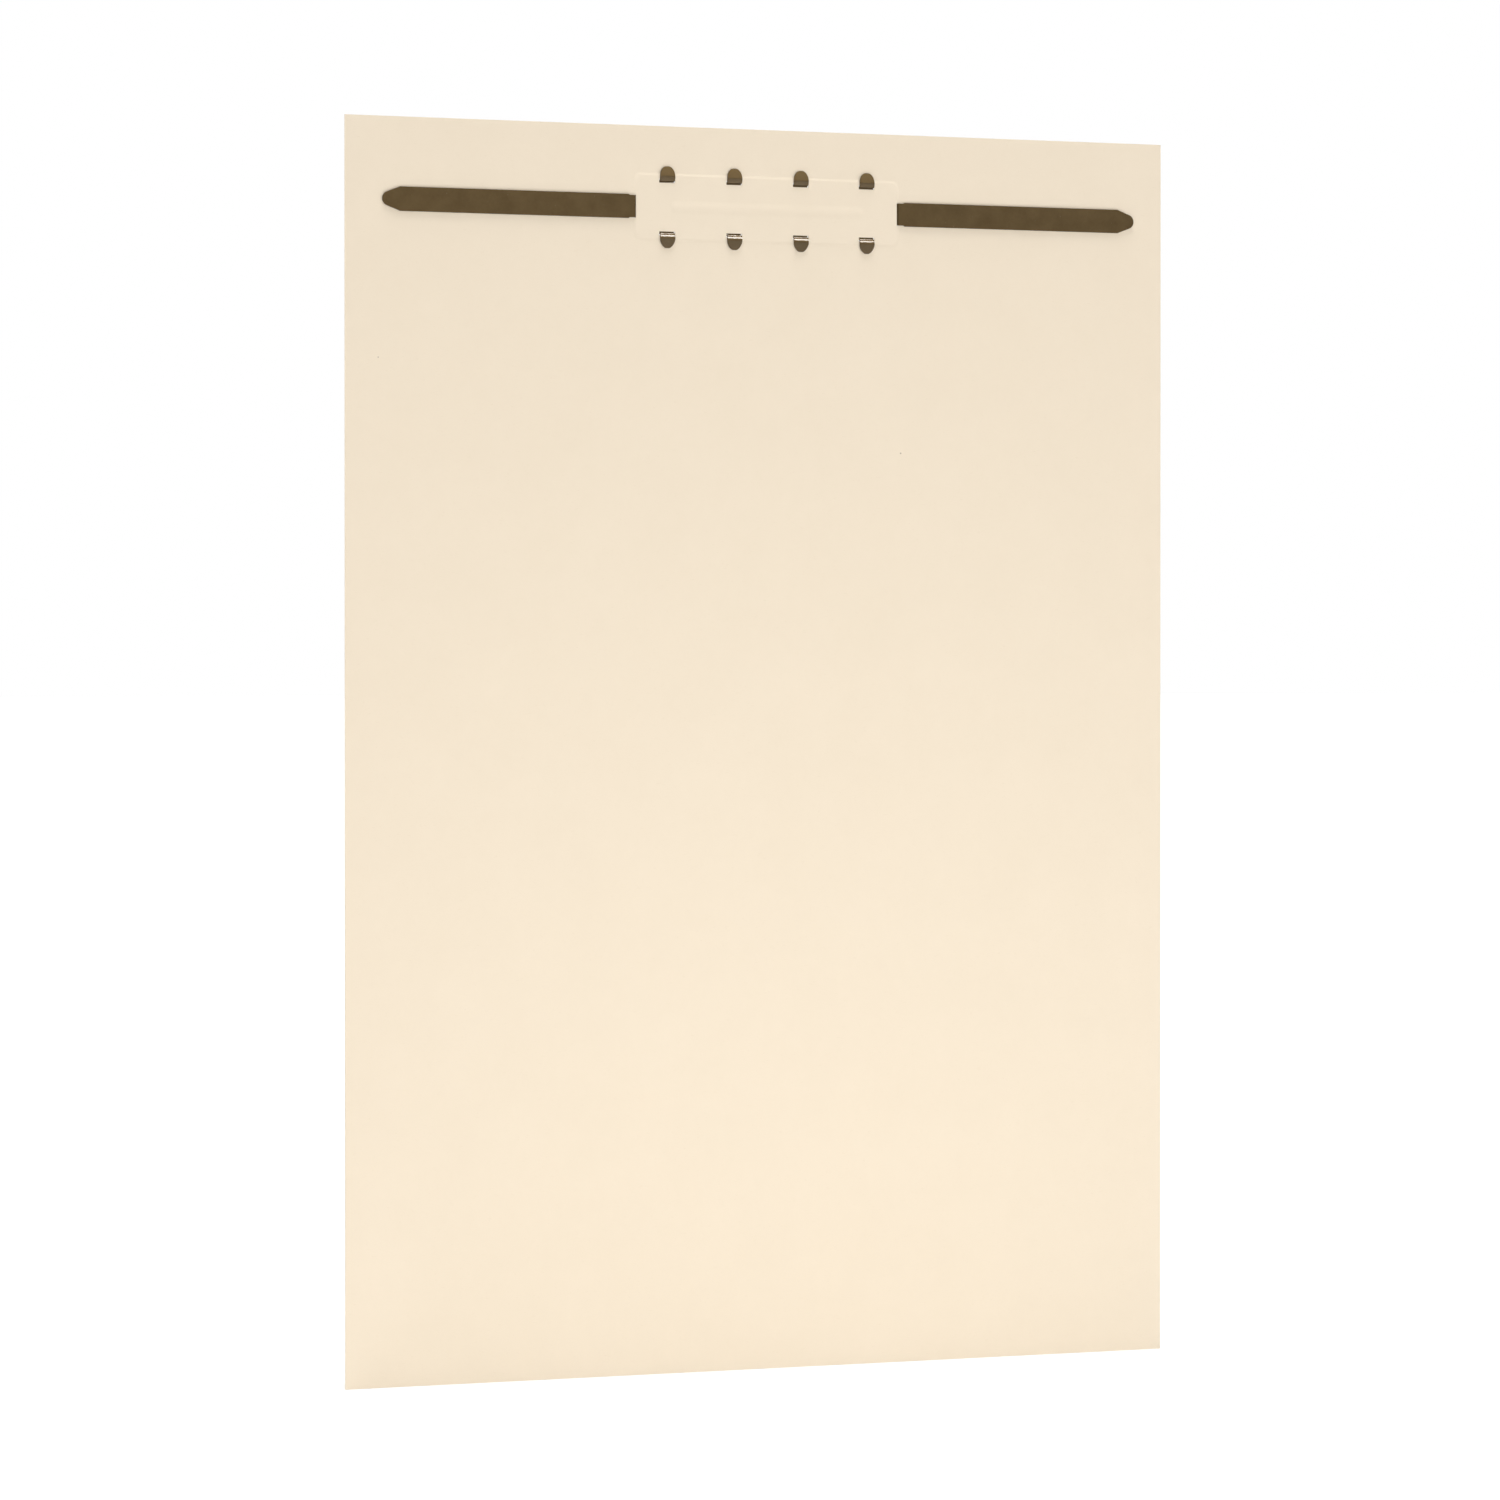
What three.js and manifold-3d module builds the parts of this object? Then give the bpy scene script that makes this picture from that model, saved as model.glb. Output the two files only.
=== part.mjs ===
// A card divider with a two-prong paper fastener clinched through it near the top edge.
// Sizes are in millimetres. X runs across the sheet, Z up it, and the front face looks towards -Y.
// The origin is the middle of the bottom edge, half way through the card.

import * as THREE from 'three';
import { mergeVertices } from 'three/addons/utils/BufferGeometryUtils.js';
import Module from 'manifold-3d';

// Card sheet
const sheetWidth = 215.9;
const sheetHeight = 279.4;
const sheetThickness = 0.28;

// Steel strip that the fastener is stamped from
const metalThickness = 0.25;

// Place of the fastener's centre: down from the sheet's top edge, and right of the sheet's middle
const fastenerDrop = 18.1;
const fastenerShift = 0.7;

// Prongs: flat strips that bend at two upright lines, each with a narrow neck and a tapered tip
const prongSpacing = 69.85;
const prongLength = 64.5;
const prongWidth = 5.4;
const prongLift = 0.1;
const neckWidth = 5;
const neckLength = 1.35;
const shoulderLength = 0.3;
const tipLength = 4.45;
const noseRadius = 1.6;
const hingeGap = 0.02;

// Neck bends that bring the strip through the card: inside radii behind the card and in front of it
const rearBendRadius = 0.1;
const frontBendRadius = 0.05;

// Windows in the card for the necks
const windowLength = 0.55;
const windowEndGap = 0.06;
const windowSideGap = 0.04;

// Base plate behind the card
const plateHeight = 14.3;
const plateCornerRadius = 1.5;

// Plateau that the base plate presses up in the card, with sloping walls
const pressRise = 0.12;
const pressWall = 0.4;
const pressGap = 0.02;
const recessGap = 0.05;

// Stiffening bead along the middle of the plate, pressed through the card as well
const beadEndInset = 9.3;
const beadWidth = 2.4;
const beadWall = 0.7;
const beadRise = 0.1;

// Clinched lugs: two rows that stand up through slits in the card and fold away from the centreline
const lugsPerRow = 4;
const lugEndInset = 8.1;
const lugWidth = 3.9;
const lugReach = 3.7;
const slitInset = 1.69;
const slitGap = 0.12;
const lugBendRadius = 0.1;
const lugArchLength = 1.2;
const lugArchHeight = 0.2;
const lugArchGap = 0.1;
const lugTipGap = 0.02;
const notchGap = 0.3;
const notchRelief = 0.3;

// Ends of the lugs in each row: straight sides, then a dome, whose exponent is 2 for an ellipse and less for
// flatter flanks, down to half of a blunt nose
const upperLugEnd = { straight: 1.55, exponent: 1.9, noseHalf: 0.25 };
const lowerLugEnd = { straight: 1.65, exponent: 1.6, noseHalf: 0.4 };

// Overlap of strips that are joined to the plate, depth that a pressed form sits in its slab below the wall,
// overrun of cutters, and the length under which a stretch of a path is only rounding
const joinOverlap = 0.5;
const seatDepth = 0.02;
const cutOverrun = 1;
const shortestStretch = 1e-6;

// Facets of the round stretches
const cornerSteps = 6;
const bendSteps = 5;
const domeSteps = 14;

// Depths through the object, front to back
const cardFront = -sheetThickness / 2;
const cardBack = sheetThickness / 2;
const plateauFront = cardFront - pressRise;
const recessFloor = cardBack - pressRise;
const plateFront = recessFloor + pressGap;
const plateMid = plateFront + metalThickness / 2;
const plateBack = plateFront + metalThickness;
const prongBack = cardFront - prongLift;
const prongMid = prongBack - metalThickness / 2;
const prongFront = prongBack - metalThickness;

// Stations along the fastener, from its centre out to the right
const hingeX = prongSpacing / 2;
const rearBend = rearBendRadius + metalThickness / 2;
const frontBend = frontBendRadius + metalThickness / 2;
const neckEndX = hingeX - hingeGap / 2;
const neckWebX = neckEndX - frontBend;
const plateEndX = neckWebX - rearBend;
const windowInnerX = neckWebX - metalThickness / 2 - windowEndGap;
const windowHeight = neckWidth + 2 * windowSideGap;
const outerLugX = plateEndX - lugEndInset;
const lugPitch = (2 * outerLugX) / (lugsPerRow - 1);

// Stations across the fastener, from its centreline up
const slitEdgeZ = plateHeight / 2 - slitInset;
const lugWebZ = slitEdgeZ + slitGap + metalThickness / 2;
const lugBend = lugBendRadius + metalThickness / 2;
const lugRootZ = lugWebZ - lugBend;
const notchFloorZ = lugRootZ - notchRelief;
const lugTipZ = slitEdgeZ + lugReach;

const wasm = await Module();
wasm.setup();

/** Turns a closed three.js geometry into a solid that can be joined and cut. */
function solid(geometry) {
  geometry.deleteAttribute('normal');
  geometry.deleteAttribute('uv');
  const merged = mergeVertices(geometry, 1e-5);
  const vertProperties = new Float32Array(merged.attributes.position.array);
  const triVerts = new Uint32Array(merged.index.array);
  return new wasm.Manifold(new wasm.Mesh({ numProp: 3, vertProperties, triVerts }));
}

/** Turns a solid back into a three.js geometry. */
function geometryOf(body) {
  const { vertProperties, triVerts } = body.getMesh();
  const geometry = new THREE.BufferGeometry();
  geometry.setAttribute('position', new THREE.BufferAttribute(vertProperties, 3));
  geometry.setIndex(new THREE.BufferAttribute(triVerts, 1));
  geometry.computeVertexNormals();
  return geometry;
}

/** A rectangle with round corners, centred on the fastener. */
function roundedRectangle(halfLength, halfHeight, radius) {
  const shape = new THREE.Shape();
  shape.absarc(halfLength - radius, halfHeight - radius, radius, 0, Math.PI / 2);
  shape.absarc(radius - halfLength, halfHeight - radius, radius, Math.PI / 2, Math.PI);
  shape.absarc(radius - halfLength, radius - halfHeight, radius, Math.PI, 1.5 * Math.PI);
  shape.absarc(halfLength - radius, radius - halfHeight, radius, 1.5 * Math.PI, 2 * Math.PI);
  return shape;
}

/** A flat piece with its outline in X and Z, between two depths. */
function flatPiece(outline, frontY, backY, curveSegments) {
  const options = { depth: backY - frontY, bevelEnabled: false, curveSegments };
  return new THREE.ExtrudeGeometry(outline, options).rotateX(Math.PI / 2).translate(0, backY, 0);
}

/** A pressed form: its outline lies at frontY, widens by the wall over the rise, then runs straight back. */
function pressedForm(outline, wall, rise, frontY, depth) {
  const bevel = { bevelEnabled: true, bevelThickness: rise, bevelSize: wall, bevelSegments: 1 };
  const options = { depth, curveSegments: cornerSteps, ...bevel };
  const form = new THREE.ExtrudeGeometry(outline, options);
  return form.rotateX(Math.PI / 2).translate(0, frontY + depth + rise, 0);
}

/** A box between two corners. */
function block(low, high) {
  const size = new THREE.Vector3().subVectors(high, low);
  const middle = new THREE.Vector3().addVectors(low, high).multiplyScalar(0.5);
  return new THREE.BoxGeometry(size.x, size.y, size.z).translate(middle.x, middle.y, middle.z);
}

/** The side view of a metal strip that is bent along a path through the middle of its thickness. */
function bentStrip(path) {
  const upper = [];
  const lower = [];
  const stretches = path.curves.filter((curve) => curve.getLength() > shortestStretch);
  stretches.forEach((curve, index) => {
    const steps = curve.isLineCurve ? 1 : bendSteps;
    for (let i = index === 0 ? 0 : 1; i <= steps; i += 1) {
      const point = curve.getPoint(i / steps);
      const tangent = curve.getTangent(i / steps);
      const side = new THREE.Vector2(-tangent.y, tangent.x).multiplyScalar(metalThickness / 2);
      upper.push(point.clone().add(side));
      lower.push(point.clone().sub(side));
    }
  });
  return new THREE.Shape([...lower, ...upper.reverse()]);
}

/** The outline of the bead, in the plan of the plate. */
function beadOutline() {
  const halfLength = plateEndX - beadEndInset - beadWall;
  const halfWidth = beadWidth / 2 - beadWall;
  return roundedRectangle(halfLength, halfWidth, halfWidth);
}

/** The middles of the lugs along one row. */
function lugStations() {
  return Array.from({ length: lugsPerRow }, (_, i) => -outerLugX + i * lugPitch);
}

/** Puts a geometry of the upper row at every lug of both rows, made for the lug end of its row. */
function atEachLug(makeGeometry) {
  const copies = [];
  for (const x of lugStations()) {
    copies.push(makeGeometry(upperLugEnd).translate(x, 0, 0));
    copies.push(makeGeometry(lowerLugEnd).translate(x, 0, 0).rotateY(Math.PI));
  }
  return copies;
}

/** Copies a geometry of the right end to both ends. */
function atBothEnds(makeGeometry) {
  return [makeGeometry(), makeGeometry().rotateY(Math.PI)];
}

/** The card: a slab with the plateau and bead pressed up in it, and with slits and windows. */
function dividerSheet() {
  const low = new THREE.Vector3(-sheetWidth / 2 - fastenerShift, cardFront, fastenerDrop - sheetHeight);
  const high = new THREE.Vector3(sheetWidth / 2 - fastenerShift, cardBack, fastenerDrop);
  const plateau = roundedRectangle(
    plateEndX + recessGap,
    plateHeight / 2 + recessGap,
    plateCornerRadius + recessGap,
  );
  let card = solid(block(low, high))
    .add(solid(pressedForm(plateau, pressWall, pressRise, plateauFront, seatDepth)))
    .add(solid(pressedForm(beadOutline(), beadWall, beadRise, plateauFront - beadRise, seatDepth)))
    .subtract(solid(pressedForm(plateau, pressWall, pressRise, recessFloor, cutOverrun)))
    .subtract(solid(pressedForm(beadOutline(), beadWall, beadRise, recessFloor - beadRise, cutOverrun)));
  for (const cutter of [...atEachLug(slitCutter), ...atBothEnds(windowCutter)]) {
    card = card.subtract(solid(cutter));
  }
  return geometryOf(card);
}

/** The slit of one lug of the upper row. */
function slitCutter() {
  const halfWidth = lugWidth / 2 + slitGap;
  const farZ = lugWebZ + metalThickness / 2 + slitGap;
  const low = new THREE.Vector3(-halfWidth, plateauFront - cutOverrun, slitEdgeZ);
  const high = new THREE.Vector3(halfWidth, cardBack + cutOverrun, farZ);
  return block(low, high);
}

/** The window of the right neck. */
function windowCutter() {
  const low = new THREE.Vector3(windowInnerX, plateauFront - cutOverrun, -windowHeight / 2);
  const high = new THREE.Vector3(windowInnerX + windowLength, cardBack + cutOverrun, windowHeight / 2);
  return block(low, high);
}

/** The fastener's base: a plate with a pressed bead, notches, eight clinched lugs and two neck bends. */
function fastenerBase() {
  const outline = roundedRectangle(plateEndX, plateHeight / 2, plateCornerRadius);
  let base = solid(flatPiece(outline, plateFront, plateBack, cornerSteps))
    .add(solid(pressedForm(beadOutline(), beadWall, beadRise, plateFront - beadRise, seatDepth)))
    .subtract(solid(pressedForm(beadOutline(), beadWall, beadRise, plateBack - beadRise, cutOverrun)));
  for (const cutter of atEachLug(notchCutter)) {
    base = base.subtract(solid(cutter));
  }
  for (const piece of [...atEachLug(lug), ...atBothEnds(neckStrip)]) {
    base = base.add(solid(piece));
  }
  return geometryOf(base);
}

/** The notch that frees one lug of the upper row from the plate's edge, with relief on both sides. */
function notchCutter() {
  const halfWidth = lugWidth / 2 + notchGap;
  const low = new THREE.Vector3(-halfWidth, plateFront - cutOverrun, notchFloorZ);
  const high = new THREE.Vector3(halfWidth, plateBack + cutOverrun, plateHeight / 2 + cutOverrun);
  return block(low, high);
}

/** One lug of the upper row's place: its bent strip, cut to the outline of its end. */
function lug(end) {
  const cutter = flatPiece(lugOutline(end), plateauFront - cutOverrun, plateBack + cutOverrun, domeSteps);
  return geometryOf(solid(lugStrip()).intersect(solid(cutter)));
}

/** One lug's strip, bent up through its slit, arched over the card and pressed down to its tip. */
function lugStrip() {
  const crestY = plateauFront - lugArchGap - metalThickness / 2;
  const crestZ = lugWebZ + lugArchLength;
  const tipY = cardFront - lugTipGap - metalThickness / 2;
  const path = new THREE.Path();
  path.moveTo(plateMid, notchFloorZ - joinOverlap);
  path.lineTo(plateMid, lugRootZ);
  path.absarc(plateMid - lugBend, lugRootZ, lugBend, 0, Math.PI / 2);
  path.lineTo(crestY + lugArchHeight, lugWebZ);
  path.absellipse(
    crestY + lugArchHeight,
    crestZ,
    lugArchHeight,
    lugArchLength,
    -Math.PI / 2,
    -Math.PI,
    true,
  );
  path.quadraticCurveTo(crestY, (crestZ + lugTipZ) / 2, tipY, lugTipZ);
  const axes = [new THREE.Vector3(0, 1, 0), new THREE.Vector3(0, 0, 1), new THREE.Vector3(1, 0, 0)];
  const depth = lugWidth + 2 * cutOverrun;
  const strip = new THREE.ExtrudeGeometry(bentStrip(path), { depth, bevelEnabled: false });
  return strip.applyMatrix4(new THREE.Matrix4().makeBasis(...axes)).translate(-depth / 2, 0, 0);
}

/** The outline of one lug: straight sides, then a dome down to a blunt nose. */
function lugOutline({ straight, exponent, noseHalf }) {
  const halfWidth = lugWidth / 2;
  const domeZ = slitEdgeZ + straight;
  const right = [new THREE.Vector2(halfWidth, notchFloorZ - joinOverlap)];
  for (let i = 0; i <= domeSteps; i += 1) {
    const rise = Math.sin((i / domeSteps) * (Math.PI / 2));
    const fullness = Math.max(0, 1 - rise ** exponent) ** (1 / exponent);
    const reach = noseHalf + (halfWidth - noseHalf) * fullness;
    right.push(new THREE.Vector2(reach, domeZ + (lugTipZ - domeZ) * rise));
  }
  const left = right.map((point) => new THREE.Vector2(-point.x, point.y)).reverse();
  return new THREE.Shape([...right, ...left]);
}

/** The right neck's strip: from the plate up through the window, then level out to the bend line. */
function neckStrip() {
  const path = new THREE.Path();
  path.moveTo(plateEndX - joinOverlap, plateMid);
  path.lineTo(plateEndX, plateMid);
  path.absarc(plateEndX, plateMid - rearBend, rearBend, Math.PI / 2, 0, true);
  path.lineTo(neckWebX, prongMid + frontBend);
  path.absarc(neckEndX, prongMid + frontBend, frontBend, Math.PI, 1.5 * Math.PI);
  const strip = new THREE.ExtrudeGeometry(bentStrip(path), { depth: neckWidth, bevelEnabled: false });
  return strip.translate(0, 0, -neckWidth / 2);
}

/** A prong from its bend line out: neck, shoulders, straight strip, tapers and round nose. */
function prong() {
  const noseX = prongLength - noseRadius;
  const halfWidth = prongWidth / 2;
  const taperX = prongLength - tipLength;
  const toShoulder = Math.atan2(halfWidth, taperX - noseX);
  const touch = toShoulder - Math.acos(noseRadius / Math.hypot(taperX - noseX, halfWidth));
  const outline = new THREE.Shape();
  outline.moveTo(hingeGap / 2, -neckWidth / 2);
  outline.lineTo(neckLength, -neckWidth / 2);
  outline.lineTo(neckLength + shoulderLength, -halfWidth);
  outline.lineTo(taperX, -halfWidth);
  outline.absarc(noseX, 0, noseRadius, -touch, touch);
  outline.lineTo(taperX, halfWidth);
  outline.lineTo(neckLength + shoulderLength, halfWidth);
  outline.lineTo(neckLength, neckWidth / 2);
  outline.lineTo(hingeGap / 2, neckWidth / 2);
  return flatPiece(outline, prongFront, prongBack, domeSteps);
}

/** A named mesh with its own material. */
function piece(name, geometry, { color, roughness, metalness }) {
  const mesh = new THREE.Mesh(geometry, new THREE.MeshStandardMaterial({ color, roughness, metalness }));
  mesh.name = name;
  return mesh;
}

const manilaCard = { color: '#f3e4cd', roughness: 0.9, metalness: 0 };
const bronzeLacquer = { color: '#5e4e37', roughness: 0.4, metalness: 0.6 };

const sheet = piece('divider_sheet', dividerSheet(), manilaCard);
const base = piece('fastener_base', fastenerBase(), bronzeLacquer);
const rightProng = piece('right_prong', prong(), bronzeLacquer);
const leftProng = piece('left_prong', prong(), bronzeLacquer);
rightProng.position.x = hingeX;
leftProng.position.x = -hingeX;
leftProng.rotation.y = Math.PI;

const divider = new THREE.Group();
divider.name = 'folder_divider';
divider.add(sheet, base, rightProng, leftProng);
divider.position.set(fastenerShift, 0, sheetHeight - fastenerDrop);

export default divider;
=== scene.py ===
"""A card folder divider with a two-prong paper fastener, dressed and lit for a studio picture.

Pieces are shaped in millimetres about the middle of the fastener, with X across the sheet, Z up it
and the front towards -Y. A finished piece is then set down in the frame, in metres.
"""

import logging
import math
from collections.abc import Callable, Iterable, Sequence
from dataclasses import dataclass, field
from enum import Enum

import bmesh
import bpy
from mathutils import Matrix, Vector


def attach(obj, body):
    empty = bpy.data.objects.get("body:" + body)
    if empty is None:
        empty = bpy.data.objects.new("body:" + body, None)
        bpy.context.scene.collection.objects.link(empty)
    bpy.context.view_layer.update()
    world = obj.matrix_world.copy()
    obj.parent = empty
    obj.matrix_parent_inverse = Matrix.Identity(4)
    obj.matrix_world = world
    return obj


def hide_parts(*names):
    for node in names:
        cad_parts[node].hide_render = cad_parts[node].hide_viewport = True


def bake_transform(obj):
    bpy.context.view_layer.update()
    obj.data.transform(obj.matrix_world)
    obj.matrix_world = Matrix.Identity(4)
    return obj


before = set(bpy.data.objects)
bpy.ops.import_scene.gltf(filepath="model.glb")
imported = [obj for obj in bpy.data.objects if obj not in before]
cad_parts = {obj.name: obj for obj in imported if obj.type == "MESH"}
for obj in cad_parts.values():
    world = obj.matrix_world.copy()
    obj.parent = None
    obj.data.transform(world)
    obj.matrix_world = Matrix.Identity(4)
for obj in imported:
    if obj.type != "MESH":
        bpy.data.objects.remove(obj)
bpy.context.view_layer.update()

# One millimetre in metres, and the distance in millimetres at which two points count as one.
MM = 0.001
NEAR = 1e-4

# The Mix node's sockets for colours, which share their names with its other sockets.
MIX_COLOURS = (6, 7)
MIX_RESULT = 2

Colour = tuple[float, float, float]
Point = tuple[float, float]
log = logging.getLogger("divider")


class Axis(Enum):
    """The two directions in the plan of the sheet, by their place in a coordinate."""

    ACROSS = 0
    UP = 2


class Element(Enum):
    """What a selection in edit mode is made of."""

    VERTEX = "VERT"
    EDGE = "EDGE"
    FACE = "FACE"


class Side(Enum):
    """The two ends of the fastener, by the sign of X."""

    LEFT = -1
    RIGHT = 1


class Row(Enum):
    """The two rows of lugs, by the sign of Z."""

    UPPER = 1
    LOWER = -1


def graded(start: float, stops: Sequence[Point]) -> list[float]:
    """Divides a line evenly between stops.

    Args:
        start: Where the line starts.
        stops: Place of each stop and the widest step allowed just before it.

    Returns:
        The places of the start, of all stops and of the steps between them.
    """
    places = [start]
    for end, pitch in stops:
        steps = max(1, math.ceil((end - start) / pitch - NEAR))
        places += [start + (end - start) * step / steps for step in range(1, steps + 1)]
        start = end
    return places


def arc(centre: Point, radius: float, start: float, end: float, steps: int) -> list[Point]:
    """Places points along an arc, without its first point.

    Args:
        centre: Middle of the arc.
        radius: Its radius.
        start: First angle, in degrees.
        end: Last angle, in degrees.
        steps: How many points.

    Returns:
        The points, from just after the start to the end.
    """
    angles = [math.radians(start + (end - start) * step / steps) for step in range(1, steps + 1)]
    return [(centre[0] + radius * math.cos(a), centre[1] + radius * math.sin(a)) for a in angles]


@dataclass(frozen=True)
class Patch:
    """A rounded rectangle in the plan of the sheet, centred on the fastener."""

    half_length: float
    half_height: float
    radius: float

    def holds(self, point: Vector) -> bool:
        """Says whether a point lies inside the outline, whatever its depth."""
        over_x = max(abs(point.x) - self.half_length + self.radius, 0.0)
        over_z = max(abs(point.z) - self.half_height + self.radius, 0.0)
        return math.hypot(over_x, over_z) <= self.radius + NEAR


class Workpiece:
    """One sheet of stock on the bench: cut, pressed, bent, then thickened and set down in the frame."""

    cut_angle: float = math.radians(50)
    cut_steps: int = 2
    smooth_angle: float = math.radians(40)

    def __init__(self, name: str, low: Point, high: Point, depth: float) -> None:
        """Lays down a flat blank that faces the front.

        Args:
            name: Name of the piece.
            low: Its lowest X and Z.
            high: Its highest X and Z.
            depth: Its place in Y.
        """
        bpy.ops.object.select_all(action="DESELECT")
        middle = ((low[0] + high[0]) / 2, depth, (low[1] + high[1]) / 2)
        bpy.ops.mesh.primitive_plane_add(size=1, location=middle, rotation=(math.pi / 2, 0, 0))
        self.body = bpy.context.active_object
        self.body.name = name
        self.body.data.name = name
        self.body.scale = (high[0] - low[0], high[1] - low[1], 1)
        bpy.ops.object.transform_apply(location=True, rotation=True, scale=True)
        bpy.ops.object.mode_set(mode="EDIT")

    def score(self, axis: Axis, places: Iterable[float]) -> None:
        """Cuts the whole blank along straight lines.

        Args:
            axis: The direction that the places are measured in.
            places: Where the lines lie.
        """
        for place in places:
            point = [0.0, 0.0, 0.0]
            point[axis.value] = place
            normal = [0.0, 0.0, 0.0]
            normal[axis.value] = 1.0
            bpy.ops.mesh.select_all(action="SELECT")
            bpy.ops.mesh.bisect(plane_co=point, plane_no=normal, threshold=NEAR)

    def pick(self, element: Element, test: Callable[[Vector], bool]) -> None:
        """Selects the vertices, edges or faces whose middle passes a test.

        Args:
            element: What to select.
            test: Says whether a middle point belongs to the selection.
        """
        bpy.ops.mesh.select_mode(type=element.value)
        bpy.ops.mesh.select_all(action="DESELECT")
        mesh = bmesh.from_edit_mesh(self.body.data)
        items = {Element.VERTEX: mesh.verts, Element.EDGE: mesh.edges, Element.FACE: mesh.faces}[element]
        for item in items:
            corners = [item] if element is Element.VERTEX else item.verts
            if test(sum((vertex.co for vertex in corners), Vector()) / len(corners)):
                item.select_set(True)
        bmesh.update_edit_mesh(self.body.data)

    def punch(self, test: Callable[[Vector], bool]) -> None:
        """Removes the faces whose middle passes a test."""
        self.pick(Element.FACE, test)
        bpy.ops.mesh.delete(type="FACE")

    def press(self, patch: Patch, rise: float, wall: float) -> None:
        """Presses a form towards the front, with a smooth wall around it.

        Args:
            patch: Outline of the form's flat top.
            rise: How far the top moves to the front.
            wall: Width of the sloping wall.
        """
        self.pick(Element.VERTEX, patch.holds)
        bpy.ops.transform.translate(
            value=(0, -rise, 0),
            use_proportional_edit=True,
            proportional_edit_falloff="SMOOTH",
            proportional_size=wall,
            use_proportional_connected=False,
        )

    def draw_out(self, step: Vector, narrowing: float = 1.0) -> None:
        """Extrudes the selected edge by one step.

        Args:
            step: The move.
            narrowing: Width of the new edge as a share of the old one's.
        """
        bpy.ops.mesh.extrude_region_move(TRANSFORM_OT_translate={"value": step})
        if narrowing < 1.0:
            mesh = bmesh.from_edit_mesh(self.body.data)
            chosen = [vertex.co.copy() for vertex in mesh.verts if vertex.select]
            middle = sum(chosen, Vector()) / len(chosen)
            bpy.ops.transform.resize(value=(narrowing,) * 3, center_override=middle)

    def leave(self) -> None:
        """Merges points that coincide and goes back to object mode."""
        bpy.ops.mesh.select_mode(type=Element.VERTEX.value)
        bpy.ops.mesh.select_all(action="SELECT")
        bpy.ops.mesh.remove_doubles(threshold=NEAR)
        bpy.ops.object.mode_set(mode="OBJECT")

    def copy(self, turn: float, shift: float) -> bpy.types.Object:
        """Copies the piece with its own mesh.

        Args:
            turn: Angle about Y, in radians.
            shift: Move along X after the turn.

        Returns:
            The copy, with its place in its mesh.
        """
        twin = self.body.copy()
        twin.data = self.body.data.copy()
        bpy.context.scene.collection.objects.link(twin)
        twin.data.transform(Matrix.Translation((shift, 0, 0)) @ Matrix.Rotation(turn, 4, "Y"))
        return twin

    def _choose(self, others: Sequence[bpy.types.Object] = ()) -> None:
        """Selects the piece and makes it the active one.

        Args:
            others: Other pieces to select with it.
        """
        bpy.ops.object.select_all(action="DESELECT")
        for item in (*others, self.body):
            item.select_set(True)
        bpy.context.view_layer.objects.active = self.body

    def take_in(self, others: Sequence[bpy.types.Object]) -> None:
        """Joins other pieces to this one, and welds them where their points coincide.

        Args:
            others: The other pieces.
        """
        self._choose(others)
        bpy.ops.object.join()
        bpy.ops.object.mode_set(mode="EDIT")
        self.leave()

    def thicken(self, thickness: float, softened: float) -> None:
        """Gives the surface its real thickness on both sides, and breaks its cut edges.

        Args:
            thickness: Thickness of the stock.
            softened: Width of the round along each cut edge.
        """
        self._choose()
        wall = self.body.modifiers.new("thickness", "SOLIDIFY")
        wall.thickness = thickness
        wall.offset = 0
        wall.use_even_offset = True
        bpy.ops.object.modifier_apply(modifier=wall.name)
        edge = self.body.modifiers.new("cut_edge", "BEVEL")
        edge.width = softened
        edge.segments = self.cut_steps
        edge.limit_method = "ANGLE"
        edge.angle_limit = self.cut_angle
        edge.use_clamp_overlap = False
        bpy.ops.object.modifier_apply(modifier=edge.name)
        bpy.ops.object.shade_smooth_by_angle(angle=self.smooth_angle)
        flats = self.body.modifiers.new("flat_faces", "WEIGHTED_NORMAL")
        flats.keep_sharp = True
        bpy.ops.object.modifier_apply(modifier=flats.name)

    def settle(self, centre: Vector, material: bpy.types.Material) -> bpy.types.Object:
        """Sets the piece down in the frame, with its stock map and its material.

        Args:
            centre: The fastener's middle, in metres.
            material: Its finish.

        Returns:
            The finished piece.
        """
        mesh = self.body.data
        mesh.transform(Matrix.Translation(centre) @ Matrix.Scale(MM, 4))
        layer = mesh.uv_layers.get("stock") or mesh.uv_layers.new(name="stock")
        for loop in mesh.loops:
            place = mesh.vertices[loop.vertex_index].co
            layer.data[loop.index].uv = (place.x, place.z)
        mesh.materials.append(material)
        log.info("%s: %d faces", self.body.name, len(mesh.polygons))
        return self.body


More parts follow.
